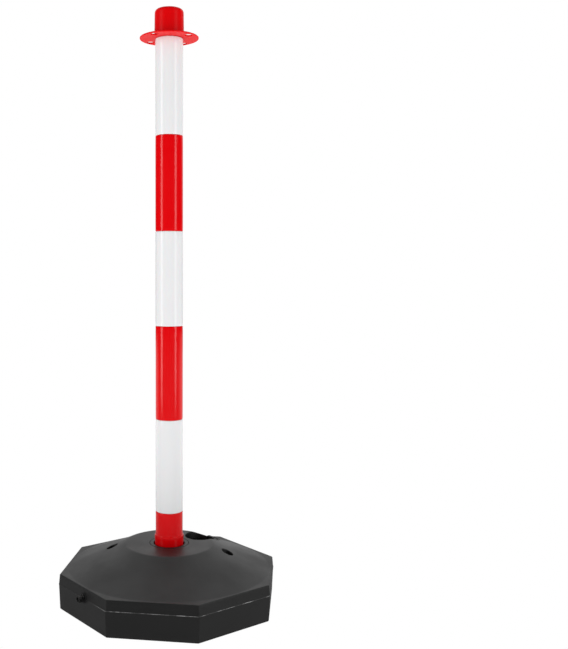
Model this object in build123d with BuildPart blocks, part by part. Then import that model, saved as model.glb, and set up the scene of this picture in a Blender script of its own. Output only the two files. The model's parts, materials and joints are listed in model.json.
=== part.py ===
"""Plastic chain stanchion: hollow octagonal foot, plug-together post and a cap with chain holes.

Origin: centre of the foot's underside. +Z up, one flat side of the octagon faces -Y. Millimetres.
"""
import os
from math import atan, cos, degrees, radians, sin, sqrt

from build123d import *

# ---- foot: across_flats is taken over the parting line, where the drafted walls are widest ----
across_flats = 310.2
parting_height = 38.0
rim_inset = 1.4
underside_inset = 1.5
rim_height = 53.2
corner_radius = 4.0
bottom_edge_radius = 2.0
rim_edge_radius = 1.5
shell_wall = 3.0
flare_radius = 151.0
flare_sag = 1.5
boss_radius = 66.5
boss_height = 88.0
boss_edge_radius = 8.0
flash_thickness = 0.8
flash_width = 0.4

# ---- anchor wells ----
anchor_distance = 88.5
anchor_hole_radius = 8.5
anchor_wall = 3.0

# ---- filler cup and its stopper ----
filler_angle = 45.0
filler_distance = 58.8
filler_cap_top = 77.0
filler_cap_radius = 22.2
filler_cap_thickness = 2.4
filler_bore_radius = 18.0
filler_neck_bottom = 58.0
filler_skirt_depth = 13.0
filler_skirt_wall = 2.0
filler_dish_radius = 15.0
filler_dish_depth = 0.8
tab_root = 75.0
tab_reach = 98.0
tab_width = 11.0
tab_hole_radius = 2.8
tab_thickness = 1.6
tab_clearance = 0.8

# ---- drain plug ----
drain_face_angle = 225.0
drain_offset = 7.5
drain_height = 39.0
drain_pad_radius = 7.6
drain_pad_width = 0.9
drain_stem_radius = 4.0
drain_stem_depth = 9.0
drain_flange_radius = 6.6
drain_flange_thickness = 1.6
drain_knob_radius = 4.7
drain_knob_length = 6.4
drain_recess_radius = 3.1
drain_recess_depth = 2.2
drain_rib_count = 8
drain_rib_width = 0.9
drain_rib_height = 0.5
seal_thickness = 1.0

# ---- post ----
tube_radius = 20.5
tube_wall = 2.0
section_length = 140.2
section_count = 5
section_edge_radius = 0.6
spigot_length = 30.0
foot_collar_radius = 21.8
foot_collar_top = 101.5
foot_stub_top = 137.2
socket_floor = 8.0

# ---- socket insert ----
insert_flange_radius = 29.3
insert_flange_thickness = 2.5
insert_mouth_radius = 23.6
insert_taper_depth = 26.0
insert_wall = 2.2

# ---- cap ----
brim_radius = 43.3
brim_thickness = 2.0
crown_foot_radius = 21.8
crown_top_radius = 21.2
crown_height = 41.2
crown_round = 10.5
crown_rise = 1.2
cap_wall = 2.2
cap_plug_length = 30.0
chain_hole_radius = 5.5
chain_hole_circle = 35.0
chain_hole_count = 4
chain_hole_start = 61.7

# ---- clearances ----
running_gap = 0.05
seat_gap = 0.1
loose_gap = 0.3

# ---- derived sizes ----
apothem = across_flats / 2
tube_bore = tube_radius - tube_wall
spigot_radius = tube_bore - running_gap
spigot_bore = spigot_radius - tube_wall
socket_bore = foot_collar_radius + running_gap
insert_radius = insert_mouth_radius + insert_wall
well_bore = insert_radius + running_gap
well_radius = well_bore + shell_wall
post_top = foot_stub_top + section_count * (section_length + seat_gap)

# the flare is one shallow arc from the boss edge down to the rim, concave upwards
chord_x = flare_radius - boss_radius
chord_z = rim_height - boss_height
chord = sqrt(chord_x**2 + chord_z**2)
flare_arc = (chord**2 / 4 + flare_sag**2) / (2 * flare_sag)
flare_centre_x = (boss_radius + flare_radius) / 2 - (flare_arc - flare_sag) * chord_z / chord
flare_centre_z = (boss_height + rim_height) / 2 + (flare_arc - flare_sag) * chord_x / chord


def flare_height(radius, depth=0.0):
    """Height of the flare's surface, or of a surface lying depth below it."""
    return flare_centre_z - sqrt((flare_arc + depth) ** 2 - (radius - flare_centre_x) ** 2)


def flare_reach(height, depth=0.0):
    """Distance from the axis at which that surface has the given height."""
    return flare_centre_x - sqrt((flare_arc + depth) ** 2 - (flare_centre_z - height) ** 2)


def octagon(inscribed, corner):
    """Regular octagon with a flat side facing -Y and rounded corners."""
    RegularPolygon(inscribed, 8, major_radius=False, rotation=22.5)
    if corner > 0:
        fillet(vertices(), corner)


def drafted_walls(inset, corner):
    """Octagonal block from floor to rim, drawn inset from the outer faces and narrowing both ways."""
    with BuildPart() as block:
        with BuildSketch(Plane.XY.offset(parting_height)):
            octagon(apothem - inset, corner)
        extrude(amount=rim_height - parting_height - inset,
                taper=degrees(atan(rim_inset / (rim_height - parting_height))))
        with BuildSketch(Plane.XY.offset(parting_height)):
            octagon(apothem - inset, corner)
        extrude(amount=parting_height - inset, dir=(0, 0, -1),
                taper=degrees(atan(underside_inset / parting_height)))
    return block.part


def flare_block(inset):
    """Solid of revolution under the flare and the boss, drawn inset from their outer surface."""
    top = boss_height - inset
    start = flare_reach(top, inset)
    middle = (start + flare_radius - inset) / 2
    end = flare_radius - inset
    low = rim_height - inset - 1
    with BuildPart() as block:
        with BuildSketch(Plane.XZ):
            with BuildLine():
                Polyline((end, flare_height(end, inset)), (end, low), (0, low), (0, top), (start, top))
                ThreePointArc((start, top), (middle, flare_height(middle, inset)),
                              (end, flare_height(end, inset)))
            make_face()
        revolve(axis=Axis.Z)
    return block.part


def radial_plane(angle, height, distance, offset=0.0):
    """Plane whose normal points outward at the given direction."""
    across = (-sin(radians(angle)), cos(radians(angle)))
    x = distance * cos(radians(angle)) + offset * across[0]
    y = distance * sin(radians(angle)) + offset * across[1]
    return Plane(origin=(x, y, height), x_dir=(across[0], across[1], 0),
                 z_dir=(cos(radians(angle)), sin(radians(angle)), 0))


filler_floor = filler_cap_top - filler_cap_thickness - seal_thickness - seat_gap
filler_recess = filler_cap_radius + loose_gap
filler_plane = radial_plane(filler_angle, 0, 0)
drain_plane = radial_plane(drain_face_angle, drain_height, apothem, drain_offset)

os.makedirs("parts", exist_ok=True)


def save(piece, name):
    piece.part.label = name
    export_step(piece.part, f"parts/{name}.step")


# ---- hollow of the foot: the wells, the filler cup and the drain boss stand inside it ----
with BuildPart() as tank:
    add(drafted_walls(shell_wall, 0))
    add(flare_block(shell_wall))
    with BuildSketch(Plane.XY):
        Circle(well_radius)
        with PolarLocations(anchor_distance, 2):
            Circle(anchor_hole_radius + anchor_wall)
    extrude(amount=boss_height, mode=Mode.SUBTRACT)
    with BuildSketch(Plane.XY.offset(filler_neck_bottom)):
        with PolarLocations(filler_distance, 1, start_angle=filler_angle):
            Circle(filler_bore_radius + shell_wall)
    extrude(amount=boss_height, mode=Mode.SUBTRACT)
    with BuildSketch(Plane.XY.offset(filler_floor - shell_wall)):
        with PolarLocations(filler_distance, 1, start_angle=filler_angle):
            Circle(filler_recess + shell_wall)
    extrude(amount=boss_height, mode=Mode.SUBTRACT)
    with BuildSketch(drain_plane.offset(-2 * shell_wall)):
        Circle(drain_pad_radius)
    extrude(amount=2 * shell_wall, mode=Mode.SUBTRACT)

# ---- base shell ----
with BuildPart() as base_shell:
    add(drafted_walls(0, corner_radius))
    fillet(faces().sort_by(Axis.Z)[0].edges(), bottom_edge_radius)
    fillet(faces().sort_by(Axis.Z)[-1].edges(), rim_edge_radius)
    with BuildSketch(Plane.XY.offset(parting_height - flash_thickness / 2)):
        octagon(apothem + flash_width, corner_radius + flash_width)
    extrude(amount=flash_thickness)
    add(flare_block(0))
    fillet(edges().filter_by(GeomType.CIRCLE).group_by(Axis.Z)[-1], boss_edge_radius)
    with BuildSketch(drain_plane):
        Circle(drain_pad_radius)
    extrude(amount=drain_pad_width)
    add(tank.part, mode=Mode.SUBTRACT)
    # filler recess and its bore
    with BuildSketch(Plane.XY.offset(filler_floor)):
        with PolarLocations(filler_distance, 1, start_angle=filler_angle):
            Circle(filler_recess)
    extrude(amount=boss_height, mode=Mode.SUBTRACT)
    with BuildSketch(Plane.XY.offset(filler_neck_bottom - 1)):
        with PolarLocations(filler_distance, 1, start_angle=filler_angle):
            Circle(filler_bore_radius)
    extrude(amount=boss_height, mode=Mode.SUBTRACT)
    # drain hole, socket, ring recess and anchor holes
    with BuildSketch(drain_plane.offset(drain_pad_width)):
        Circle(drain_stem_radius + running_gap)
    extrude(amount=-drain_pad_width - 2 * shell_wall - 1, mode=Mode.SUBTRACT)
    with BuildSketch(Plane.XY.offset(socket_floor)):
        Circle(well_bore)
    extrude(amount=boss_height, mode=Mode.SUBTRACT)
    with BuildSketch(Plane.XY.offset(boss_height - insert_flange_thickness)):
        Circle(insert_flange_radius + loose_gap)
    extrude(amount=boss_height, mode=Mode.SUBTRACT)
    with BuildSketch(Plane.XY.offset(-1)):
        with PolarLocations(anchor_distance, 2):
            Circle(anchor_hole_radius)
    extrude(amount=boss_height, mode=Mode.SUBTRACT)
save(base_shell, "base_shell")

# ---- socket insert: flush ring, tapered mouth and straight sleeve ----
insert_bottom = socket_floor
with BuildPart() as socket_insert:
    with BuildSketch(Plane.XZ):
        with BuildLine():
            Polyline((socket_bore, insert_bottom), (insert_radius, insert_bottom),
                     (insert_radius, boss_height - insert_flange_thickness),
                     (insert_flange_radius, boss_height - insert_flange_thickness),
                     (insert_flange_radius, boss_height),
                     (insert_mouth_radius, boss_height),
                     (socket_bore, boss_height - insert_taper_depth),
                     (socket_bore, insert_bottom))
        make_face()
    revolve(axis=Axis.Z)
save(socket_insert, "socket_insert")

# ---- filler stopper, its pull tab over the edge of the recess, and its seal ----
tab_edge = filler_distance + filler_recess
tab_low = flare_height(tab_edge) + tab_clearance
with BuildPart() as filler_cap:
    with BuildSketch(Plane.XY.offset(filler_cap_top - filler_cap_thickness)):
        with PolarLocations(filler_distance, 1, start_angle=filler_angle):
            Circle(filler_cap_radius)
    extrude(amount=filler_cap_thickness)
    with BuildSketch(Plane.XY.offset(filler_cap_top)):
        with PolarLocations(filler_distance, 1, start_angle=filler_angle):
            Circle(filler_dish_radius)
    extrude(amount=-filler_dish_depth, mode=Mode.SUBTRACT)
    with BuildSketch(Plane.XY.offset(filler_cap_top - filler_cap_thickness)):
        with PolarLocations(filler_distance, 1, start_angle=filler_angle):
            Circle(filler_bore_radius - running_gap)
            Circle(filler_bore_radius - running_gap - filler_skirt_wall, mode=Mode.SUBTRACT)
    extrude(amount=-filler_skirt_depth)
    with BuildPart(mode=Mode.PRIVATE) as strap:
        with BuildSketch(Plane(origin=(0, 0, 0), x_dir=filler_plane.z_dir, z_dir=-filler_plane.x_dir)):
            with BuildLine():
                Polyline((tab_root, filler_cap_top), (tab_root + 2 * tab_thickness, filler_cap_top),
                         (tab_edge - 2 * tab_thickness, tab_low), (tab_edge, tab_low),
                         (tab_reach, flare_height(tab_reach) + tab_clearance),
                         (tab_reach, flare_height(tab_reach) + tab_clearance + tab_thickness),
                         (tab_edge, tab_low + tab_thickness),
                         (tab_edge - 3 * tab_thickness, tab_low + tab_thickness),
                         (tab_root, filler_cap_top))
            make_face()
        extrude(amount=tab_width / 2, both=True)
        with BuildSketch(Plane.XY):
            with PolarLocations(tab_reach - filler_cap_radius, 1, start_angle=filler_angle):
                SlotOverall(2 * filler_cap_radius, tab_width)
        extrude(amount=boss_height, mode=Mode.INTERSECT)
        with BuildSketch(Plane.XY):
            with PolarLocations(tab_reach - tab_width / 2, 1, start_angle=filler_angle):
                Circle(tab_hole_radius)
        extrude(amount=boss_height, mode=Mode.SUBTRACT)
    add(strap.part)
save(filler_cap, "filler_cap")

with BuildPart() as filler_seal:
    with BuildSketch(Plane.XY.offset(filler_floor + seat_gap)):
        with PolarLocations(filler_distance, 1, start_angle=filler_angle):
            Circle(filler_cap_radius - loose_gap)
            Circle(filler_bore_radius + running_gap, mode=Mode.SUBTRACT)
    extrude(amount=seal_thickness)
save(filler_seal, "filler_seal")

# ---- drain plug and its seal ----
drain_seat = drain_pad_width + seat_gap
drain_flange_base = drain_seat + seal_thickness
drain_knob_base = drain_flange_base + drain_flange_thickness
with BuildPart() as drain_plug:
    with BuildSketch(drain_plane.offset(drain_pad_width - drain_stem_depth)):
        Circle(drain_stem_radius)
    extrude(amount=drain_flange_base - drain_pad_width + drain_stem_depth)
    with BuildSketch(drain_plane.offset(drain_flange_base)):
        Circle(drain_flange_radius)
    extrude(amount=drain_flange_thickness)
    with BuildSketch(drain_plane.offset(drain_knob_base)):
        Circle(drain_knob_radius)
        with PolarLocations(drain_knob_radius, drain_rib_count):
            Rectangle(2 * drain_rib_height, drain_rib_width)
    extrude(amount=drain_knob_length)
    with BuildSketch(drain_plane.offset(drain_knob_base + drain_knob_length)):
        Circle(drain_recess_radius)
    extrude(amount=-drain_recess_depth, mode=Mode.SUBTRACT)
save(drain_plug, "drain_plug")

with BuildPart() as drain_seal:
    with BuildSketch(drain_plane.offset(drain_seat)):
        Circle(drain_flange_radius - loose_gap)
        Circle(drain_stem_radius + running_gap, mode=Mode.SUBTRACT)
    extrude(amount=seal_thickness)
save(drain_seal, "drain_seal")

# ---- post foot: collar in the socket, stub and spigot ----
with BuildPart() as post_foot:
    with BuildSketch(Plane.XZ):
        with BuildLine():
            Polyline((spigot_bore, socket_floor + seat_gap), (foot_collar_radius, socket_floor + seat_gap),
                     (foot_collar_radius, foot_collar_top), (tube_radius, foot_collar_top),
                     (tube_radius, foot_stub_top), (spigot_radius, foot_stub_top),
                     (spigot_radius, foot_stub_top + spigot_length),
                     (spigot_bore, foot_stub_top + spigot_length),
                     (spigot_bore, socket_floor + seat_gap))
        make_face()
    revolve(axis=Axis.Z)
    chamfer(edges().filter_by(GeomType.CIRCLE).group_by(Axis.Z)[0].sort_by(SortBy.RADIUS)[-1], 1.0)
    fillet(edges().filter_by(lambda e: e.geom_type == GeomType.CIRCLE
                             and abs(e.center().Z - foot_stub_top) < 0.01
                             and abs(e.radius - tube_radius) < 0.01), section_edge_radius)
    fillet(edges().filter_by(lambda e: e.geom_type == GeomType.CIRCLE
                             and abs(e.center().Z - foot_collar_top) < 0.01
                             and abs(e.radius - foot_collar_radius) < 0.01), 0.8)
save(post_foot, "post_foot")

# ---- post sections: each bore takes the spigot below, and each but the last carries a spigot ----
for number in range(1, section_count + 1):
    low = foot_stub_top + seat_gap + (number - 1) * (section_length + seat_gap)
    high = low + section_length
    with BuildPart() as section:
        with BuildSketch(Plane.XY.offset(low)):
            Circle(tube_radius)
        extrude(amount=section_length)
        ends = edges().filter_by(GeomType.CIRCLE)
        fillet(ends, section_edge_radius)
        if number < section_count:
            with BuildSketch(Plane.XY.offset(high - spigot_length / 2)):
                Circle(spigot_radius)
            extrude(amount=spigot_length * 1.5)
        with BuildSketch(Plane.XY.offset(low)):
            Circle(tube_bore)
        extrude(amount=section_length - (tube_wall if number < section_count else 0),
                mode=Mode.SUBTRACT)
        if number < section_count:
            with BuildSketch(Plane.XY.offset(low)):
                Circle(spigot_bore)
            extrude(amount=2 * section_length, mode=Mode.SUBTRACT)
    save(section, f"post_section_{number}")

# ---- top cap: plug, brim and rounded crown, with a round hollow inside ----
brim_low = post_top + seat_gap
brim_high = brim_low + brim_thickness
crown_top = brim_high + crown_height
with BuildPart() as top_cap:
    with BuildSketch(Plane.XZ):
        with BuildLine():
            Polyline((spigot_bore, brim_low - cap_plug_length), (spigot_radius, brim_low - cap_plug_length),
                     (spigot_radius, brim_low), (brim_radius, brim_low), (brim_radius, brim_high),
                     (crown_foot_radius, brim_high), (crown_top_radius, crown_top - crown_rise))
            ThreePointArc((crown_top_radius, crown_top - crown_rise),
                          (crown_top_radius / 2, crown_top - crown_rise / 4), (0, crown_top))
            Polyline((0, crown_top), (0, crown_top - 1.5 * cap_wall),
                     (spigot_bore, crown_top - crown_round), (spigot_bore, brim_low - cap_plug_length))
        make_face()
    revolve(axis=Axis.Z)
    fillet(edges().filter_by(lambda e: e.geom_type == GeomType.CIRCLE
                             and abs(e.center().Z - crown_top + crown_rise) < 0.01
                             and abs(e.radius - crown_top_radius) < 0.01), crown_round)
    fillet(edges().filter_by(lambda e: e.geom_type == GeomType.CIRCLE
                             and abs(e.radius - brim_radius) < 0.01), 0.6)
    with BuildSketch(Plane.XY.offset(brim_low - 1)):
        with PolarLocations(chain_hole_circle, chain_hole_count, start_angle=chain_hole_start):
            Circle(chain_hole_radius)
    extrude(amount=brim_thickness + 2, mode=Mode.SUBTRACT)
save(top_cap, "top_cap")
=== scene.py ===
import json
import math

import bmesh
import bpy
import numpy as np
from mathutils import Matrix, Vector


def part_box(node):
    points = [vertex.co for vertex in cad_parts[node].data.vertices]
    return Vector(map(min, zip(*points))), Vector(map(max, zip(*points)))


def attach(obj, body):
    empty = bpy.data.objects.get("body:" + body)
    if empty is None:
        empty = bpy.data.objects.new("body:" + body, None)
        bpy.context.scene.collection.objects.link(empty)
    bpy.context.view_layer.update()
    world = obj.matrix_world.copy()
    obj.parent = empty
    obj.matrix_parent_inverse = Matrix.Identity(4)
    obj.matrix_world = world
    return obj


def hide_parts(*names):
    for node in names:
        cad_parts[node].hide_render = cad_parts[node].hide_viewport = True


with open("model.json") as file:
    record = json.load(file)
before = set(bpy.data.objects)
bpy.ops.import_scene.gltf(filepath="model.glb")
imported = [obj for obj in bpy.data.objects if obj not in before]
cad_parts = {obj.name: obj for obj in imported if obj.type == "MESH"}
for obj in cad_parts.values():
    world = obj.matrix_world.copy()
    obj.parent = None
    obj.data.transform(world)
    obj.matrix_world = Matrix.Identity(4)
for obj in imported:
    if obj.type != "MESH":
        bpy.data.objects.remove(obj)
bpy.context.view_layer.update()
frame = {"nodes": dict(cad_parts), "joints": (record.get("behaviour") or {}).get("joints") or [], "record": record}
print("frame loaded", len(frame["nodes"]), "nodes")

mm = 0.001
mergeDistance = 0.002 * mm
record = frame["record"]
joints = {joint["name"]: joint for joint in frame["joints"]}
mounts = {mount["name"]: mount for mount in record["mounts"]}


def lowHigh(node):  # corners of a CAD node as arrays, in millimetres
    low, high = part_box(node)
    return np.array(low) / mm, np.array(high) / mm


# ---------- mesh helpers ----------

def makeObject(name, verts, faces):  # verts in millimetres, already in the row frame
    mesh = bpy.data.meshes.new(name)
    mesh.from_pydata((verts * mm).tolist(), [], faces)
    mesh.validate()
    piece = bpy.data.objects.new(name, mesh)
    bpy.context.scene.collection.objects.link(piece)
    return piece


def cleanMesh(piece, turn=True):  # merges poles and slivers; turn faces them all outward
    work = bmesh.new()
    work.from_mesh(piece.data)
    bmesh.ops.remove_doubles(work, verts=work.verts, dist=mergeDistance)
    bmesh.ops.dissolve_degenerate(work, edges=work.edges, dist=mergeDistance)
    if turn:
        bmesh.ops.recalc_face_normals(work, faces=work.faces)
    work.to_mesh(piece.data)
    work.free()


def smooth(piece, angle=32.0):
    piece.data.shade_smooth()
    piece.data.set_sharp_from_angle(angle=math.radians(angle))


# a grid of points[u, v, 3]; each direction may close on itself
def gridPiece(name, points, closeU=False, closeV=False):
    nu, nv = points.shape[:2]
    index = np.arange(nu * nv).reshape(nu, nv)
    if closeU:
        index = np.concatenate([index, index[:1]], axis=0)
    if closeV:
        index = np.concatenate([index, index[:, :1]], axis=1)
    quads = np.stack([index[:-1, :-1], index[1:, :-1], index[1:, 1:], index[:-1, 1:]], axis=-1)
    piece = makeObject(name, points.reshape(-1, 3), quads.reshape(-1, 4).tolist())
    cleanMesh(piece)
    return piece


# corners of a profile rounded by tangent arcs: each arc starts and ends radius*tan(turn/2) from its corner
def roundProfile(corners, radii, steps=6):
    corners = np.array(corners, float)
    out = [corners[:1]]
    for i in range(1, len(corners) - 1):
        a, b, c = corners[i - 1], corners[i], corners[i + 1]
        back, ahead = (a - b) / np.linalg.norm(a - b), (c - b) / np.linalg.norm(c - b)
        turn = math.pi - math.acos(np.clip(back @ ahead, -1, 1))
        if radii[i] <= 0 or turn < 1e-4:
            out.append(b[None])
            continue
        reach = radii[i] * math.tan(turn / 2)
        reach = min(reach, 0.49 * np.linalg.norm(a - b), 0.49 * np.linalg.norm(c - b))
        radius = reach / math.tan(turn / 2)
        middle = back + ahead
        centre = b + middle / np.linalg.norm(middle) * math.hypot(reach, radius)
        start, end = b + back * reach - centre, b + ahead * reach - centre
        t = np.linspace(0, 1, steps + 1)[:, None]
        arc = (np.sin((1 - t) * turn) * start + np.sin(t * turn) * end) / math.sin(turn)
        out.append(centre + arc)
    out.append(corners[-1:])
    return np.concatenate(out)


# extra points on long runs, so that no quad of a turned piece is longer than step
def refine(profile, step):
    out = [profile[:1]]
    for a, b in zip(profile[:-1], profile[1:]):
        count = max(1, int(np.ceil(np.linalg.norm(b - a) / step)))
        out.append(a + (b - a) * np.linspace(0, 1, count + 1)[1:, None])
    return np.concatenate(out)


class Place:  # origin and three directions of a local frame, in millimetres
    def __init__(self, origin=(0, 0, 0), axis=(0, 0, 1), side=None):
        self.origin = np.array(origin, float)
        self.axis = np.array(axis, float) / np.linalg.norm(axis)
        if side is None:
            side = (1, 0, 0) if abs(self.axis[0]) < 0.9 else (0, 1, 0)
        side = np.array(side, float) - self.axis * (np.array(side, float) @ self.axis)
        self.x = side / np.linalg.norm(side)
        self.y = np.cross(self.axis, self.x)

    def points(self, x, y, z):  # local coordinates to the row frame
        return (self.origin + x[..., None] * self.x + y[..., None] * self.y
                + z[..., None] * self.axis)


# a turned piece: profile[(radius, height)] carried round an axis; a loop closes the profile on itself
def turned(name, profile, place=None, segments=128, loop=False, ripple=None):
    place = place or Place()
    angle = np.linspace(0, 2 * math.pi, segments, endpoint=False)
    radius = np.repeat(profile[:, :1], segments, axis=1)
    height = np.repeat(profile[:, 1:], segments, axis=1)
    if ripple is not None:
        radius = radius + ripple(angle[None, :], height, radius)
    points = place.points(radius * np.cos(angle), radius * np.sin(angle), height)
    return gridPiece(name, points, closeU=loop, closeV=True)


def combine(piece, other, how):  # exact boolean, applied at once; the other mesh is used up
    step = piece.modifiers.new(how, "BOOLEAN")
    step.operation = how
    step.solver = "EXACT"
    step.object = other
    graph = bpy.context.evaluated_depsgraph_get()
    result = bpy.data.meshes.new_from_object(piece.evaluated_get(graph))
    piece.modifiers.clear()
    piece.data = result
    bpy.data.objects.remove(other)
    cleanMesh(piece, turn=False)
    return piece


# ---------- material helpers ----------

def linear(code):  # sRGB hex to linear RGBA
    srgb = np.array([int(code[i:i + 2], 16) for i in (1, 3, 5)]) / 255
    value = np.where(srgb <= 0.04045, srgb / 12.92, ((srgb + 0.055) / 1.055) ** 2.4)
    return (*value.tolist(), 1.0)


# one node with its settings; a setting named "in:Socket" sets that socket or links an output to it
def addNode(tree, kind, settings=None):
    node = tree.nodes.new(kind)
    for key, value in (settings or {}).items():
        if not key.startswith("in:"):
            setattr(node, key, value)
    for key, value in (settings or {}).items():
        if key.startswith("in:"):
            name = key[3:]
            socket = node.inputs[int(name) if name.isdigit() else name]
            if isinstance(value, bpy.types.NodeSocket):
                tree.links.new(value, socket)
            else:
                socket.default_value = value
    return node


cloudLow, cloudHigh = 0.3, 0.7  # where nearly all values of a noise texture lie


def newMaterial(name):
    material = bpy.data.materials.new(name)
    material.use_nodes = True
    material.node_tree.nodes.clear()
    return material, material.node_tree


# moulded or drawn plastic: two close colours clouded together, a roughness that drifts, and a fine grain
def plastic(name, look):
    material, tree = newMaterial(name)
    place = addNode(tree, "ShaderNodeTexCoord").outputs["Object"]
    cloud = addNode(tree, "ShaderNodeTexNoise", {
        "in:Vector": place, "in:Scale": 1 / (look["cloudSize"] * mm), "in:Detail": 3.0, "in:Roughness": 0.55})
    colour = addNode(tree, "ShaderNodeMix", {
        "data_type": "RGBA", "in:0": cloud.outputs[0],
        "in:6": linear(look["dark"]), "in:7": linear(look["light"])})
    rough = addNode(tree, "ShaderNodeMapRange", {
        "in:0": cloud.outputs[0], "in:1": cloudLow, "in:2": cloudHigh,
        "in:3": look["rough"][0], "in:4": look["rough"][1]})
    grain = addNode(tree, "ShaderNodeTexNoise", {
        "in:Vector": place, "in:Scale": 1 / (look["grainSize"] * mm), "in:Detail": 2.0, "in:Roughness": 0.5})
    bump = addNode(tree, "ShaderNodeBump", {
        "in:Strength": look["grainStrength"], "in:Distance": look["grainDepth"] * mm,
        "in:Height": grain.outputs[0]})
    normal = bump.outputs[0]
    if "waveSize" in look:  # slow waviness along a drawn tube, seen in its long highlights
        stretch = addNode(tree, "ShaderNodeMapping", {
            "in:Vector": place, "in:Scale": (1.0, 1.0, look["waveStretch"])})
        wave = addNode(tree, "ShaderNodeTexNoise", {
            "in:Vector": stretch.outputs[0], "in:Scale": 1 / (look["waveSize"] * mm), "in:Detail": 1.0})
        slow = addNode(tree, "ShaderNodeBump", {
            "in:Strength": 1.0, "in:Distance": look["waveDepth"] * mm, "in:Height": wave.outputs[0],
            "in:Normal": normal})
        normal = slow.outputs[0]
    tint = colour.outputs[2]
    if "seamHeight" in look:  # painted highlight where the flash of the parting line catches the light, broken up by noise and faded towards -X
        height = addNode(tree, "ShaderNodeSeparateXYZ", {"in:0": place}).outputs[2]
        off = addNode(tree, "ShaderNodeMath", {
            "operation": "COMPARE", "in:0": height,
            "in:1": look["seamHeight"] * mm, "in:2": look["seamWidth"] * mm})
        patch = addNode(tree, "ShaderNodeTexNoise", {
            "in:Vector": place, "in:Scale": 1 / (look["seamPatch"] * mm),
            "in:Detail": 4.0, "in:Roughness": 0.7})
        much = addNode(tree, "ShaderNodeMapRange", {
            "in:0": patch.outputs[0], "in:1": look["seamBare"], "in:2": look["seamFull"],
            "in:3": look["seamLeast"], "in:4": 1.0})
        across = addNode(tree, "ShaderNodeSeparateXYZ", {"in:0": place}).outputs[0]
        side = addNode(tree, "ShaderNodeMapRange", {
            "in:0": across, "in:1": look["seamFrom"] * mm, "in:2": look["seamTo"] * mm,
            "in:3": look["seamFaint"], "in:4": 1.0})
        # how strong the painted highlight on the parting line is: faded towards -X and broken up by noise
        seamHighlightShare = addNode(tree, "ShaderNodeMath", {
            "operation": "MULTIPLY", "in:0": side.outputs[0], "in:1": much.outputs[0]})
        share = addNode(tree, "ShaderNodeMath", {
            "operation": "MULTIPLY", "in:0": off.outputs[0], "in:1": seamHighlightShare.outputs[0]})
        seamHighlightMix = addNode(tree, "ShaderNodeMix", {
            "data_type": "RGBA", "in:0": share.outputs[0], "in:6": tint, "in:7": linear(look["seamColour"])})
        tint = seamHighlightMix.outputs[2]
    shader = addNode(tree, "ShaderNodeBsdfPrincipled", {
        "in:Base Color": tint, "in:Roughness": rough.outputs[0], "in:Normal": normal,
        "in:IOR": look.get("ior", 1.49), "in:Specular IOR Level": look.get("specular", 0.5),
        "in:Subsurface Weight": look.get("depth", 0.0),
        "in:Subsurface Scale": look.get("depthSize", 1.0) * mm,
        "in:Coat Weight": look.get("coat", 0.0), "in:Coat Roughness": look.get("coatRough", 0.1)})
    addNode(tree, "ShaderNodeOutputMaterial", {"in:Surface": shader.outputs[0]})
    return material


def dress(piece, body, nodes, material, sharp=32.0):
    piece.data.materials.clear()
    piece.data.materials.append(material)
    smooth(piece, sharp)
    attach(piece, body)
    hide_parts(*nodes)
    print("made", piece.name, len(piece.data.polygons), "faces")


# ---------- finishes ----------

redPolypropylene = plastic("redPolypropylene", {  # drawn polypropylene tube: smooth, semi-gloss, full red
    "dark": "#D60006", "light": "#DA0008", "cloudSize": 40, "rough": (0.14, 0.18), "ior": 1.49,
    "specular": 0.36, "grainSize": 0.9, "grainStrength": 0.15, "grainDepth": 0.01,
    "waveSize": 30, "waveStretch": 0.25, "waveDepth": 0.03})
whitePolypropylene = plastic("whitePolypropylene", {  # same tube in white: milky, light gets under the skin
    "dark": "#E0E0E1", "light": "#E3E3E4", "cloudSize": 45, "rough": (0.16, 0.21), "ior": 1.49,
    "specular": 0.45, "grainSize": 0.9, "grainStrength": 0.15, "grainDepth": 0.01,
    "waveSize": 30, "waveStretch": 0.25, "waveDepth": 0.03, "depth": 0.08, "depthSize": 2.0})
redMoulded = plastic("redMouldedPolypropylene", {  # injection-moulded cap: the same red, satin from the mould
    "dark": "#D60004", "light": "#DA0006", "cloudSize": 25, "rough": (0.30, 0.38), "ior": 1.49,
    "specular": 0.08, "grainSize": 0.8, "grainStrength": 0.2, "grainDepth": 0.015,
    "depth": 0.06, "depthSize": 1.5})
blackPolyethylene = plastic("blackBlownPolyethylene", {  # blow-moulded HDPE: black, waxy, finely pebbled
    "dark": "#151515", "light": "#1A1A1A", "cloudSize": 60, "rough": (0.42, 0.55), "ior": 1.54,
    "specular": 0.5, "grainSize": 0.7, "grainStrength": 0.5, "grainDepth": 0.05,
    # the seam keys paint a highlight along the parting line, broken up by noise and faded towards -X
    "seamHeight": 38.0, "seamWidth": 0.42, "seamPatch": 16, "seamColour": "#9A9A9A",
    "seamBare": 0.46, "seamFull": 0.66, "seamLeast": 0.12, "seamFrom": -95, "seamTo": -58, "seamFaint": 0.1})
blackMoulded = plastic("blackMouldedPolyethylene", {  # the socket's ring: the foot's black, moulded smoother
    "dark": "#151515", "light": "#1A1A1A", "cloudSize": 60, "rough": (0.42, 0.55), "ior": 1.54,
    "specular": 0.5, "grainSize": 0.7, "grainStrength": 0.4, "grainDepth": 0.04})
blackGloss = plastic("blackGlossPolyethylene", {  # injection-moulded stopper: deep black and shiny
    "dark": "#040404", "light": "#070707", "cloudSize": 15, "rough": (0.22, 0.30), "ior": 1.52,
    "specular": 0.12, "grainSize": 0.6, "grainStrength": 0.2, "grainDepth": 0.01})
blackSatin = plastic("blackSatinPolyethylene", {  # injection-moulded drain plug: even satin black
    "dark": "#0D0D0D", "light": "#141414", "cloudSize": 12, "rough": (0.32, 0.42), "ior": 1.52,
    "specular": 0.5, "grainSize": 0.5, "grainStrength": 0.3, "grainDepth": 0.02})
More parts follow.
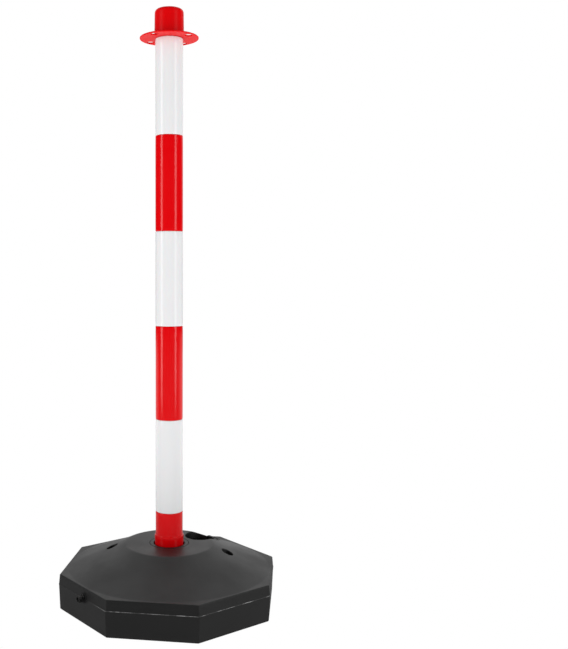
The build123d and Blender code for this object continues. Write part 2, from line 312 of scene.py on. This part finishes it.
sealRubber = plastic("blackRubber", {  # flat rubber seal: dull, dark grey
    "dark": "#161616", "light": "#1D1D1D", "cloudSize": 6, "rough": (0.75, 0.85), "ior": 1.52,
    "specular": 0.3, "grainSize": 0.4, "grainStrength": 0.5, "grainDepth": 0.02})
print("finishes made")


# ---------- foot ----------

foot = {
    "cornerRadius": 4.0, "bottomEdge": 2.0, "rimEdge": 1.5, "wall": 3.0, "partingHeight": 38.0,
    "rimHeight": 53.2, "rimInset": 1.4, "underInset": 1.5, "bossRadius": 66.5, "bossEdge": 9.0,
    "flareEnd": 150.6, "flareSag": 1.5, "creaseSoft": 1.8, "creaseSwell": 1.0, "flashWidth": 0.4,
    "flashThick": 0.8, "panelSink": 0.3, "wellGap": 0.05,
    "insertRecess": 0.3, "recessEdge": 0.9, "flatSteps": 22, "cornerSteps": 8, "neckBottom": 58.0,
    "mouthSoft": 1.1, "drainPadRadius": 7.6, "drainPadWidth": 0.9, "drainPadEdge": 0.4, "anchorWall": 3.0}

shellHigh = lowHigh("base_shell")[1]
insertLow, insertHigh = lowHigh("socket_insert")
apothem = shellHigh[0] - foot["flashWidth"]
bossTop = insertHigh[2]
socketFloor = insertLow[2]
insertFlange = insertHigh[0]
insertWall = 2.2
flangeThick = 2.5
mouthRadius = 23.6
snugGap = 0.05  # between a push-fit piece and its bore
wellRadius = mouthRadius + insertWall + foot["wellGap"]


# distance from the axis to an octagon with rounded corners, one flat side facing -Y
def octagonRadius(theta, inscribed, corner):
    half = math.pi / 8
    off = (theta + math.pi / 2 + half) % (2 * half) - half
    reach = (inscribed - corner) / math.cos(half)
    toCorner = half - np.abs(off)
    straight = inscribed / np.cos(off)
    under = np.maximum(corner**2 - (reach * np.sin(toCorner))**2, 0)
    rounded = reach * np.cos(toCorner) + np.sqrt(under)
    tangent = math.atan2(math.tan(half) * (inscribed - corner), inscribed)
    return np.where(np.abs(off) <= tangent, straight, rounded)


def octagonAngles(inscribed, corner):  # more samples where the outline turns
    half = math.pi / 8
    tangent = math.atan2(math.tan(half) * (inscribed - corner), inscribed)
    flat = np.linspace(-tangent, tangent, foot["flatSteps"] + 1)
    bend = np.linspace(tangent, 2 * half - tangent, foot["cornerSteps"] + 1)[1:-1]
    one = np.concatenate([flat, bend])
    return np.concatenate([one + k * math.pi / 4 for k in range(8)]) - math.pi / 2


# how far a side wall has drawn in from the parting line at a height, by its draft
def draft(height):
    mid = foot["partingHeight"]
    up = foot["rimInset"] * (height - mid) / (foot["rimHeight"] - mid)
    return up if height > mid else foot["underInset"] * (mid - height) / mid


# the flare is one arc through the boss edge and the rim, sagging by flareSag below their chord
flareEnd = foot["flareEnd"]
chord = math.hypot(flareEnd - foot["bossRadius"], foot["rimHeight"] - bossTop)
flareArc = (chord**2 / 4 + foot["flareSag"]**2) / (2 * foot["flareSag"])
toCentre = flareArc - foot["flareSag"]  # from the middle of the chord to the arc's centre
flareX = (foot["bossRadius"] + flareEnd) / 2 - toCentre * (foot["rimHeight"] - bossTop) / chord
flareZ = (bossTop + foot["rimHeight"]) / 2 + toCentre * (flareEnd - foot["bossRadius"]) / chord


def flareHeight(radius, depth=0.0):
    return flareZ - np.sqrt((flareArc + depth)**2 - (radius - flareX)**2)


def creaseRadius(theta):  # foot of the flare: a circle that swells towards each corner of the octagon
    return flareEnd + foot["creaseSwell"] * (1 - np.cos(8 * (theta + math.pi / 2))) / 2


# the flare's profile over the middle of a face, from the flat of the boss to just before the crease
def flareProfile():
    radii = np.linspace(foot["bossRadius"] + 2, flareEnd - foot["creaseSoft"], 40)
    flare = np.stack([radii, flareHeight(radii)], axis=1)
    edge = roundProfile([[foot["bossRadius"] - 12, bossTop], [foot["bossRadius"], bossTop], flare[4]],
                        [0, foot["bossEdge"], 0], 10)
    return np.concatenate([edge, flare[5:]])


flareRows = flareProfile()


def stretch(theta):  # how much further out than over the middle of a face the flare reaches
    start = flareRows[0, 0]
    return (creaseRadius(theta) - start) / (flareEnd - start)


def topHeight(x, y):  # height of the upper surface above a point
    start = flareRows[0, 0]
    radius = np.hypot(x, y)
    radius = np.where(radius > start, start + (radius - start) / stretch(np.arctan2(y, x)), radius)
    return np.interp(radius, flareRows[:, 0], flareRows[:, 1])


# rings of the octagonal grid, from the socket floor over the top and down: a radius and height each way
def footSurface(name):
    angles = octagonAngles(apothem, foot["cornerRadius"])
    rows = []

    def ring(radius, height):
        rows.append((np.broadcast_to(radius, angles.shape), np.broadcast_to(height, angles.shape)))

    def wallRadius(inset, height):
        gone = draft(height) + inset
        return octagonRadius(angles, apothem - gone, max(foot["cornerRadius"] - gone, 0.5))

    def side(inset, height, sink=0.0):  # one level of the octagonal wall, its panels drawn in by sink
        off = (angles + math.pi / 2 + math.pi / 8) % (math.pi / 4) - math.pi / 8
        ring(wallRadius(inset, height) - sink * np.cos(off * 4)**2, height)

    recess = insertFlange + foot["insertRecess"]
    ledge = bossTop - flangeThick
    soft = foot["recessEdge"]
    for radius, height in ((0, socketFloor), (wellRadius, socketFloor), (wellRadius, ledge), (recess, ledge)):
        ring(float(radius), float(height))
    for a in np.linspace(0, math.pi / 2, 6):
        ring(float(recess + soft * (1 - math.cos(a))), float(bossTop - soft * (1 - math.sin(a))))
    for radius in np.linspace(recess + soft, flareRows[0, 0], 6)[1:-1]:
        ring(float(radius), float(bossTop))
    start = flareRows[0, 0]
    for radius, height in flareRows:
        ring(start + (radius - start) * stretch(angles), float(height))
    # the crease: a quadratic curve from the flare, past its foot, onto the flat land
    inner = foot["rimEdge"]
    outline = wallRadius(inner, foot["rimHeight"])
    foot0 = start + (flareRows[-1, 0] - start) * stretch(angles)
    foot1 = creaseRadius(angles)
    foot2 = foot1 + np.minimum(foot["creaseSoft"], 0.7 * (outline - foot1))
    for t in np.linspace(0, 1, 9)[1:]:
        radius = (1 - t)**2 * foot0 + 2 * t * (1 - t) * foot1 + t * t * foot2
        ring(radius, float((1 - t)**2 * flareRows[-1, 1] + (1 - (1 - t)**2) * foot["rimHeight"]))
    ring((foot2 + outline) / 2, foot["rimHeight"])
    ring(outline, foot["rimHeight"])
    for a in np.linspace(0, math.pi / 2, 7)[1:]:
        side(inner * (1 - math.sin(a)), foot["rimHeight"] - inner * (1 - math.cos(a)))
    mid, thick, wide = foot["partingHeight"], foot["flashThick"] / 2, foot["flashWidth"]
    top = foot["rimHeight"] - inner
    for t in (0.25, 0.5, 0.75):
        side(0, top + (mid + thick + 0.6 - top) * t, foot["panelSink"] * math.sin(math.pi * t) * 0.5)
    for lift, out in ((thick + 0.5, 0.0), (thick + 0.05, 0.08), (thick * 0.85, 0.7), (thick * 0.4, 1.0),
                      (-thick * 0.4, 1.0), (-thick * 0.85, 0.7), (-thick - 0.05, 0.08), (-thick - 0.5, 0.0)):
        side(-wide * out, mid + lift)
    low = foot["bottomEdge"]
    for t in np.linspace(0, 1, 9)[1:-1]:
        side(0, (mid - thick - 0.5) * (1 - t) + low * t, foot["panelSink"] * math.sin(math.pi * t))
    for a in np.linspace(0, math.pi / 2, 8):
        side(low * (1 - math.cos(a)), low * (1 - math.sin(a)))
    under = wallRadius(low, 0)
    for t in (0.85, 0.6, 0.35, 0.15, 0.0):
        ring(under * t, 0.0)
    radius = np.stack([r for r, z in rows])
    height = np.stack([z for r, z in rows])
    points = np.stack([radius * np.cos(angles), radius * np.sin(angles), height], axis=-1)
    return gridPiece(name, points, closeV=True)


# the hollow of the tank: a ring-shaped space one wall inside the outer skin
def tankHollow(name):
    angles = octagonAngles(apothem, foot["cornerRadius"])
    wall = foot["wall"]
    inner = wellRadius + wall
    radii = np.linspace(foot["bossRadius"], flareEnd - wall, 24)
    rows = [(inner, wall), (inner, bossTop - wall), (foot["bossRadius"] - wall, bossTop - wall)]
    start = flareRows[0, 0]
    rows += [(start + (r - start) * stretch(angles), float(flareHeight(r, wall))) for r in radii]
    for height in (foot["rimHeight"] - wall, foot["partingHeight"], wall):
        rows.append((octagonRadius(angles, apothem - draft(height) - wall, 1.0), height))
    radius = np.stack([np.broadcast_to(r, angles.shape) for r, z in rows])
    height = np.stack([np.broadcast_to(z, angles.shape) for r, z in rows])
    points = np.stack([radius * np.cos(angles), radius * np.sin(angles), height], axis=-1)
    return gridPiece(name, points, closeU=True, closeV=True)


def rod(name, place, radius, low, high, edgeLow=0.0, edgeHigh=0.0, segments=96):
    corners = [(0, low), (radius, low), (radius, high), (0, high)]
    profile = roundProfile(corners, [0, edgeLow, edgeHigh, 0], 5)
    return turned(name, profile, place, segments)


# a cutter that widens towards its top by a quarter round, so that the edge it leaves is soft
def flaredCutter(name, place, radius, low, top, soft, segments=96):
    a = np.linspace(0, math.pi / 2, 7)
    lip = np.stack([radius + soft * (1 - np.cos(a)), top - soft + soft * np.sin(a)], axis=1)
    profile = np.concatenate([[(0, low), (radius, low)], lip, [(radius + soft, top + 3), (0, top + 3)]])
    return turned(name, profile, place, segments)


# an upright cutter whose mouth widens by a quarter round laid along the foot's upper surface
def mouthCutter(name, x, y, radius, low, soft, segments=128):
    angle = np.linspace(0, 2 * math.pi, segments, endpoint=False)[None, :]
    a = np.linspace(0, math.pi / 2, 8)[:, None]
    reach = radius + soft * (1 - np.cos(a)) + 0 * angle
    height = topHeight(x + reach * np.cos(angle), y + reach * np.sin(angle)) - soft * (1 - np.sin(a)) + 0.01
    ends = np.zeros_like(reach[:1])
    reach = np.concatenate([ends, ends + radius, reach, ends + radius + soft, ends])
    height = np.concatenate([ends + low, ends + low, height, ends + bossTop + 3, ends + bossTop + 3])
    points = np.stack([x + reach * np.cos(angle), y + reach * np.sin(angle), height], axis=-1)
    return gridPiece(name, points, closeV=True)


fillerAxis = np.array(joints["filler_stopper_pull"]["axis"])
sealLow, sealHigh = lowHigh("filler_seal")
drainAxis = np.array(joints["drain_plug_pull"]["axis"])
drainSealLow, drainSealHigh = lowHigh("drain_seal")

stopper = {
    "radius": 22.2, "thick": 2.4, "seal": 1.0, "gap": 0.1, "loose": 0.3, "bore": 18.0, "skirt": 13.0,
    "skirtWall": 2.0, "dishRadius": 15.0, "dishDepth": 0.8, "edge": 0.8,
    "tabReach": 98.0, "tabWidth": 11.0, "tabEnd": 5.5, "tabHole": 2.8, "tabThick": 1.6, "tabLift": 0.8,
    "tabRoot": 74.5, "tabSunk": 0.6, "tabStep": 76.5, "tabRise": 0.8, "tabCrest": 3.2, "tabPast": 0.4,
    "tabDip": 0.1}
sealMiddle = (sealLow + sealHigh) / 2
fillerReach = float(np.hypot(*sealMiddle[:2]))
fillerSide = np.array([sealMiddle[0], sealMiddle[1], 0]) / fillerReach
stopperMiddle = sealMiddle + fillerAxis * (stopper["seal"] / 2 + stopper["thick"])
fillerPlace = Place(stopperMiddle, fillerAxis, fillerSide)
stopperTop = float(fillerPlace.origin[2])
fillerFloor = float(sealLow[2]) - stopper["gap"]
recessRadius = stopper["radius"] + stopper["loose"]
wallRoot = 1.5  # how far the drain's pad reaches into the wall that it stands on

drain = {
    "seal": 1.0, "gap": 0.1, "stem": 4.0, "stemDepth": 9.0, "flange": 6.6, "flangeThick": 1.6,
    "knob": 4.7, "knobLength": 6.4, "recess": 3.1, "recessDepth": 2.2, "ribs": 8, "ribHeight": 0.5,
    "ribEnd": 0.4, "edge": 0.45}
drainSealMiddle = (drainSealLow + drainSealHigh) / 2
drainFace = drainSealMiddle - drainAxis * (drain["seal"] / 2 + drain["gap"] + foot["drainPadWidth"])
drainPlace = Place(drainFace, drainAxis, (0, 0, 1))


def buildFoot():
    shell = footSurface("footShell")
    padWidth = foot["drainPadWidth"]
    drainPad = rod("drainPad", drainPlace, foot["drainPadRadius"], -wallRoot, padWidth,
                   edgeHigh=foot["drainPadEdge"])
    combine(shell, drainPad, "UNION")
    wall = foot["wall"]
    neck = Place((*sealMiddle[:2], 0))
    anchors = [mounts["anchor_hole_right"], mounts["anchor_hole_left"]]
    spots = [(np.array(hole["pos_m"][:2]) / mm, hole["dims"]["r_mm"]) for hole in anchors]
    for number, (spot, radius) in enumerate(spots):
        cutter = mouthCutter(f"anchorBore{number}", *spot, radius, -1, foot["mouthSoft"])
        combine(shell, cutter, "DIFFERENCE")
    cutter = mouthCutter("recess", *sealMiddle[:2], recessRadius, fillerFloor, foot["mouthSoft"])
    combine(shell, cutter, "DIFFERENCE")
    combine(shell, rod("neckBore", neck, stopper["bore"], foot["neckBottom"] - 1, bossTop - 5), "DIFFERENCE")
    # everything that stands inside the tank is taken out of the hollow first
    hollow = tankHollow("hollow")
    combine(hollow, rod("neck", neck, stopper["bore"] + wall, foot["neckBottom"], bossTop + 2), "DIFFERENCE")
    combine(hollow, rod("cup", neck, recessRadius + wall, fillerFloor - wall, bossTop + 3), "DIFFERENCE")
    for number, (spot, radius) in enumerate(spots):
        tube = rod(f"anchorTube{number}", Place((*spot, 0)), radius + foot["anchorWall"], -1, bossTop + 2)
        combine(hollow, tube, "DIFFERENCE")
    combine(shell, hollow, "DIFFERENCE")
    drainBore = rod("drainBore", drainPlace, drain["stem"] + snugGap, -2 * wall - 1, padWidth + 1)
    combine(shell, drainBore, "DIFFERENCE")
    return shell


footShell = buildFoot()
dress(footShell, "foot", ["base_shell"], blackPolyethylene, 28.0)

# ---------- socket insert ----------

mouth = {"taper": 26.0, "mouthEdge": 1.2, "flangeEdge": 0.9}
footRadius = lowHigh("post_foot")[1][0]
boreRadius = footRadius + snugGap
insertProfile = roundProfile(
    [(boreRadius, insertLow[2] + 1), (boreRadius, insertLow[2]), (mouthRadius + insertWall, insertLow[2]),
     (mouthRadius + insertWall, bossTop - flangeThick), (insertFlange, bossTop - flangeThick),
     (insertFlange, bossTop), (mouthRadius, bossTop), (boreRadius, bossTop - mouth["taper"]),
     (boreRadius, insertLow[2] + 1)],
    [0, 0.3, 0.3, 0, 0.2, mouth["flangeEdge"], mouth["mouthEdge"], 2, 0])
insert = turned("socketInsert", insertProfile[:-1], loop=True)
dress(insert, "foot", ["socket_insert"], blackMoulded)

# ---------- filler stopper and seal ----------


# the pull tab: a flat rounded section carried along a line that climbs out of the recess and down the slope
def pullTab(name):
    s = stopper
    half = s["tabThick"] / 2
    edge = fillerReach + recessRadius
    over = float(topHeight(*(fillerSide[:2] * edge))) + s["tabLift"] + half
    end = float(topHeight(*(fillerSide[:2] * s["tabReach"]))) + s["tabLift"] + half
    corners = [(s["tabRoot"], stopperTop - s["tabSunk"]), (s["tabStep"], stopperTop + s["tabRise"]),
               (edge - s["tabCrest"], over), (edge + s["tabPast"], over - s["tabDip"]), (s["tabReach"], end)]
    line = refine(roundProfile(corners, [0, 1.5, 2.0, 3.0, 0], 6), 0.8)
    along = np.concatenate([[0], np.cumsum(np.linalg.norm(np.diff(line, axis=0), axis=1))])
    left = along[-1] - along
    share = np.sqrt(np.clip(1 - np.clip(1 - left / s["tabEnd"], 0, 1)**2, 0, 1))
    share[0] = 0
    step = np.gradient(line, axis=0)
    normal = np.stack([-step[:, 1], step[:, 0]], axis=1) / np.linalg.norm(step, axis=1)[:, None]
    turn = np.linspace(0, 2 * math.pi, 32, endpoint=False)
    flat = np.sign(np.cos(turn)) * np.abs(np.cos(turn))**0.4
    thick = np.sign(np.sin(turn)) * np.abs(np.sin(turn))**0.7 * half
    lift = thick[None] * np.minimum(share[:, None] * 3, 1)
    wide = flat[None] * share[:, None] * s["tabWidth"] / 2
    radius = line[:, :1] + normal[:, :1] * lift
    height = line[:, 1:] + normal[:, 1:] * lift
    points = fillerPlace.points(radius - fillerReach, wide, height - stopperTop)
    return gridPiece(name, points, closeV=True)


def buildStopper():
    s = stopper
    skirtRadius = s["bore"] - snugGap
    low = -s["thick"] - s["skirt"]
    profile = roundProfile(
        [(0, -s["thick"]), (skirtRadius - s["skirtWall"], -s["thick"]), (skirtRadius - s["skirtWall"], low),
         (skirtRadius, low), (skirtRadius, -s["thick"]), (s["radius"], -s["thick"]), (s["radius"], 0),
         (s["dishRadius"] + 0.6, 0), (s["dishRadius"] - 0.6, -s["dishDepth"]), (0, -s["dishDepth"])],
        [0, 0.8, 0.5, 0.5, 0.2, 0.3, s["edge"], 0.6, 0.6, 0], 5)
    plug = turned("fillerStopper", refine(profile, 4), fillerPlace)
    combine(plug, pullTab("tab"), "UNION")
    eye = Place((*(fillerSide[:2] * (s["tabReach"] - s["tabEnd"])), 0))
    cutter = rod("tabEye", eye, s["tabHole"], stopperTop - 8, stopperTop + 12, segments=48)
    combine(plug, cutter, "DIFFERENCE")
    return plug


fillerStopper = buildStopper()
dress(fillerStopper, "filler_stopper", ["filler_cap"], blackGloss)

sealPlace = Place(sealMiddle, fillerAxis, fillerSide)
sealInset = 0.3  # how far a seal stays inside the edge of the flange on it


# a flat ring; its loop starts at seam, a radius within the width of its face
def sealProfile(bore, flange, thick, seam):
    inner, outer, half = bore + snugGap, flange - sealInset, thick / 2
    corners = [(seam, -half), (outer, -half), (outer, half), (inner, half), (inner, -half), (seam, -half)]
    return roundProfile(corners, [0, 0.25, 0.25, 0.1, 0.1, 0], 3)[:-1]


fillerSeal = turned("fillerSeal", sealProfile(stopper["bore"], stopper["radius"], stopper["seal"], 19.5),
                    sealPlace, loop=True)
dress(fillerSeal, "filler_stopper", ["filler_seal"], sealRubber)

# ---------- drain plug and seal ----------


def buildDrain():
    d = drain
    pad = foot["drainPadWidth"]
    flangeLow = pad + d["gap"] + d["seal"]
    knobLow = flangeLow + d["flangeThick"]
    knobHigh = knobLow + d["knobLength"]
    profile = roundProfile(
        [(0, pad - d["stemDepth"]), (d["stem"], pad - d["stemDepth"]), (d["stem"], flangeLow),
         (d["flange"], flangeLow), (d["flange"], knobLow), (d["knob"], knobLow), (d["knob"], knobHigh),
         (d["recess"], knobHigh),
         (d["recess"], knobHigh - d["recessDepth"]), (0, knobHigh - d["recessDepth"])],
        [0, 0.6, 0, 0.4, d["edge"], 0.5, d["edge"], 0.4, 0.4, 0], 5)

    def ribs(angle, height, radius):  # grip ribs stand out of the knob's side only
        wave = np.cos(angle * d["ribs"])
        share = np.clip((wave - 0.3) * 3, 0, 1)
        lower = np.clip((height - knobLow - 0.2) / d["ribEnd"], 0, 1)
        upper = np.clip((knobHigh - 0.3 - height) / d["ribEnd"], 0, 1)
        return d["ribHeight"] * share * (lower * upper) * (radius > d["knob"] - 0.6)

    return turned("drainPlug", refine(profile, 0.8), drainPlace, 160, ripple=ribs)


drainPlug = buildDrain()
dress(drainPlug, "drain", ["drain_plug"], blackSatin)

drainSealPlace = Place(drainSealMiddle, drainAxis, (0, 0, 1))
drainSeal = turned("drainSeal", sealProfile(drain["stem"], drain["flange"], drain["seal"], 5),
                   drainSealPlace, 64, loop=True)
dress(drainSeal, "drain", ["drain_seal"], sealRubber)

# ---------- post ----------

tube = {"wall": 2.0, "edge": 1.0, "spigot": 30.0, "spigotEdge": 1.0, "neckIn": 0.12, "neckLength": 9.0}
tubeRadius = lowHigh("post_section_1")[1][0]
tubeBore = tubeRadius - tube["wall"]
spigotRadius = tubeBore - snugGap
spigotBore = spigotRadius - tube["wall"]


# a drawn end shrinks a little as it cools: the wall draws in over the last few millimetres
def drawIn(low, high):
    def ripple(angle, height, radius):
        near = np.minimum(np.abs(height - low), np.abs(high - height))
        share = np.exp(-(near / tube["neckLength"])**2 * 2)
        return -tube["neckIn"] * share * (radius > tubeRadius - 1.2)
    return ripple


def buildSection(number, last):
    low = lowHigh(f"post_section_{number}")[0][2]
    top = lowHigh(f"post_section_{number}")[1][2]
    high = top if last else top - tube["spigot"]
    corners = [(tubeBore, low + 5), (tubeBore, low), (tubeRadius, low), (tubeRadius, high)]
    radii = [0, 0.5, tube["edge"], tube["edge"]]
    if last:
        corners += [(tubeBore, high)]
        radii += [0.4]
    else:
        inside = high - tube["wall"]
        corners += [(spigotRadius, high), (spigotRadius, top), (spigotBore, top), (spigotBore, inside),
                    (tubeBore, inside)]
        radii += [0.3, tube["spigotEdge"], 0.5, 0.3, 1.0]
    corners.append((tubeBore, low + 5))
    radii.append(0)
    profile = refine(roundProfile(corners, radii, 6), 4.0)
    return turned(f"postSection{number}", profile[:-1], segments=144, loop=True, ripple=drawIn(low, high))


sections = sorted(n for n in frame["nodes"] if n.startswith("post_section_"))
for number, node in enumerate(sections, 1):
    piece = buildSection(number, number == len(sections))
    isWhite = number % 2 == 1
    dress(piece, f"section_{number}", [node],
          whitePolypropylene if isWhite else redPolypropylene, 40.0)

postFoot = {"collarEdge": 1.0, "collarTop": 101.5, "collarFoot": 1.2}


def buildPostFoot():
    low = lowHigh("post_foot")[0][2]
    top = lowHigh("post_foot")[1][2]
    stub = top - tube["spigot"]
    collar = postFoot["collarTop"]
    corners = [(spigotBore, low + 5), (spigotBore, low), (footRadius, low), (footRadius, collar),
               (tubeRadius, collar), (tubeRadius, stub), (spigotRadius, stub), (spigotRadius, top),
               (spigotBore, top), (spigotBore, low + 5)]
    radii = [0, 0.4, postFoot["collarFoot"], postFoot["collarEdge"], 0.3, tube["edge"], 0.3,
             tube["spigotEdge"], 0.5, 0]
    profile = refine(roundProfile(corners, radii, 6), 4.0)
    return turned("postFoot", profile[:-1], segments=144, loop=True)


dress(buildPostFoot(), "post_base", ["post_foot"], redPolypropylene, 40.0)

# ---------- cap ----------

cap = {
    "wall": 2.2, "plug": 30.0, "brimThick": 2.0, "footRadius": 21.8, "topRadius": 21.2, "round": 10.5,
    "rise": 1.2, "brimEdge": 0.8, "rootFillet": 1.2, "holeRadius": 5.5, "holeEdge": 0.35}


def buildCap():
    low, high = lowHigh("top_cap")
    c = cap
    brimRadius = high[0]
    brimLow = low[2] + c["plug"]
    brimHigh = brimLow + c["brimThick"]
    crownTop = high[2]
    shoulder = crownTop - c["rise"]
    dome = [(c["topRadius"] * (1 - t), crownTop - c["rise"] * (1 - t)**2) for t in (0.55, 0.7, 0.85)]
    corners = [(spigotBore, low[2] + 5), (spigotBore, low[2]), (spigotRadius, low[2]),
               (spigotRadius, brimLow), (brimRadius, brimLow), (brimRadius, brimHigh),
               (c["footRadius"], brimHigh), (c["topRadius"], shoulder + 0.6), *dome, (0, crownTop)]
    radii = [0, 0.5, 1.0, 0.3, c["brimEdge"], c["brimEdge"], c["rootFillet"], c["round"], 4, 4, 4, 0]
    outer = roundProfile(corners, radii, 10)
    ceiling = crownTop - 1.5 * c["wall"]
    inner = roundProfile([(0, ceiling), (spigotBore - 4, ceiling), (spigotBore, crownTop - c["round"]),
                          (spigotBore, low[2] + 5)], [0, 5, 3, 0], 8)
    profile = refine(np.concatenate([outer, inner]), 3.0)
    piece = turned("topCap", profile, segments=160)
    holes = [o for o in record["physics"]["openings"] if o["name"].startswith("chain_hole")]
    for number, hole in enumerate(holes):
        x, y = (np.array(hole["box_m"][0][:2]) + np.array(hole["box_m"][1][:2])) / 2 / mm
        cutter = rod(f"hole{number}", Place((x, y, 0)), c["holeRadius"], brimLow - 1, brimHigh + 1,
                     segments=64)
        combine(piece, cutter, "DIFFERENCE")
        for place in (Place((x, y, brimHigh)), Place((x, y, brimLow), (0, 0, -1))):
            edge = flaredCutter(f"edge{number}", place, c["holeRadius"] + 0.01, -c["holeEdge"] - 0.05, 0.02,
                                c["holeEdge"], 64)
            combine(piece, edge, "DIFFERENCE")
    return piece


dress(buildCap(), "cap", ["top_cap"], redMoulded, 40.0)

# ---------- stage, light and camera ----------

studio = {
    "floorSize": 8.0, "heading": 8.73, "pitch": -3.61, "distance": 1.313, "height": 0.5049, "lens": 48.8,
    "shiftX": 0.17689, "shiftY": -0.00247, "aimHeight": 0.45, "floorSeen": 1.0, "floorLight": 1.51,
    "floorMirror": 0.14, "skyLight": 0.48, "roomMirror": 0.0, "backMirror": 0.8}
white = linear("#FFFFFF")


def turnedBy(heading, x, y, z):  # from the camera's own directions to the row frame
    a = math.radians(heading)
    return (x * math.cos(a) - y * math.sin(a), x * math.sin(a) + y * math.cos(a), z)


bpy.ops.mesh.primitive_plane_add(size=studio["floorSize"], location=(0, 0, 0))
floor = bpy.context.object
floor.name = "studioFloor"
# seamless white paper: pure white to the camera, a little darker where it lights the object or mirrors in it
floorPaper, tree = newMaterial("whitePaper")
rays = addNode(tree, "ShaderNodeLightPath")
spot = addNode(tree, "ShaderNodeTexCoord").outputs["Object"]
depth = addNode(tree, "ShaderNodeSeparateXYZ", {"in:0": spot})
# in gloss the paper is bright behind the object and dim in front
mirrored = addNode(tree, "ShaderNodeMapRange", {
    "in:0": depth.outputs[1], "in:1": -0.2, "in:2": 0.9,
    "in:3": studio["floorMirror"], "in:4": studio["backMirror"]})
glow = [addNode(tree, "ShaderNodeEmission", {"in:Color": white, "in:Strength": strength}).outputs[0]
        for strength in (studio["floorSeen"], studio["floorLight"], mirrored.outputs[0])]
inner = addNode(tree, "ShaderNodeMixShader", {
    "in:0": rays.outputs["Is Glossy Ray"], "in:1": glow[1], "in:2": glow[2]})
outer = addNode(tree, "ShaderNodeMixShader", {
    "in:0": rays.outputs["Is Camera Ray"], "in:1": inner.outputs[0], "in:2": glow[0]})
addNode(tree, "ShaderNodeOutputMaterial", {"in:Surface": outer.outputs[0]})
floor.data.materials.append(floorPaper)

world = bpy.data.worlds.new("studioWorld")
world.use_nodes = True
bpy.context.scene.world = world
tree = world.node_tree
tree.nodes.clear()
rays = addNode(tree, "ShaderNodeLightPath")
direction = addNode(tree, "ShaderNodeTexCoord").outputs["Generated"]
where = addNode(tree, "ShaderNodeSeparateXYZ", {"in:0": direction})
# a white backdrop stands behind the object and the room in front of it is dark, which shows only in gloss
behind = addNode(tree, "ShaderNodeMath", {
    "operation": "ADD", "in:0": where.outputs[1], "in:1": where.outputs[2]})
mirror = addNode(tree, "ShaderNodeMapRange", {
    "in:0": behind.outputs[0], "in:1": 0.7, "in:2": 1.1,
    "in:3": studio["roomMirror"], "in:4": studio["backMirror"]})
gloss = addNode(tree, "ShaderNodeBackground", {"in:Color": white, "in:Strength": mirror.outputs[0]})
soft = addNode(tree, "ShaderNodeBackground", {"in:Color": white, "in:Strength": studio["skyLight"]})
seen = addNode(tree, "ShaderNodeBackground", {"in:Color": white, "in:Strength": 1.0})
around = addNode(tree, "ShaderNodeMixShader", {
    "in:0": rays.outputs["Is Glossy Ray"], "in:1": soft.outputs[0], "in:2": gloss.outputs[0]})
pick = addNode(tree, "ShaderNodeMixShader", {
    "in:0": rays.outputs["Is Camera Ray"], "in:1": around.outputs[0], "in:2": seen.outputs[0]})
addNode(tree, "ShaderNodeOutputWorld", {"in:Surface": pick.outputs[0]})


# an area light; its bearing is from the camera's direction, positive to the right
def softbox(name, bearing, distance, height, width, tall, power):
    a = math.radians(bearing)
    spot = turnedBy(studio["heading"], distance * math.sin(a), -distance * math.cos(a), height)
    lamp = bpy.data.lights.new(name, "AREA")
    lamp.shape = "RECTANGLE"
    lamp.size, lamp.size_y = width, tall
    lamp.energy = power
    light = bpy.data.objects.new(name, lamp)
    bpy.context.scene.collection.objects.link(light)
    light.location = spot
    aim = Vector((0, 0, studio["aimHeight"])) - Vector(spot)
    light.rotation_euler = aim.to_track_quat("-Z", "Y").to_euler()
    return light


softbox("leftSoftbox", bearing=-65, distance=1.9, height=0.75, width=0.5, tall=1.8, power=12)
softbox("rightSoftbox", bearing=55, distance=1.9, height=0.75, width=0.5, tall=1.8, power=10)

camera = bpy.data.cameras.new("camera")
camera.sensor_width = 36
camera.lens = studio["lens"]
camera.shift_x = studio["shiftX"]
camera.shift_y = studio["shiftY"]
eye = bpy.data.objects.new("camera", camera)
bpy.context.scene.collection.objects.link(eye)
eye.location = turnedBy(studio["heading"], 0, -studio["distance"], studio["height"])
eye.rotation_euler = (math.radians(90 + studio["pitch"]), 0, math.radians(studio["heading"]))
bpy.context.scene.camera = eye
bpy.context.scene.view_settings.view_transform = "Standard"
print("stage, lights and camera set")
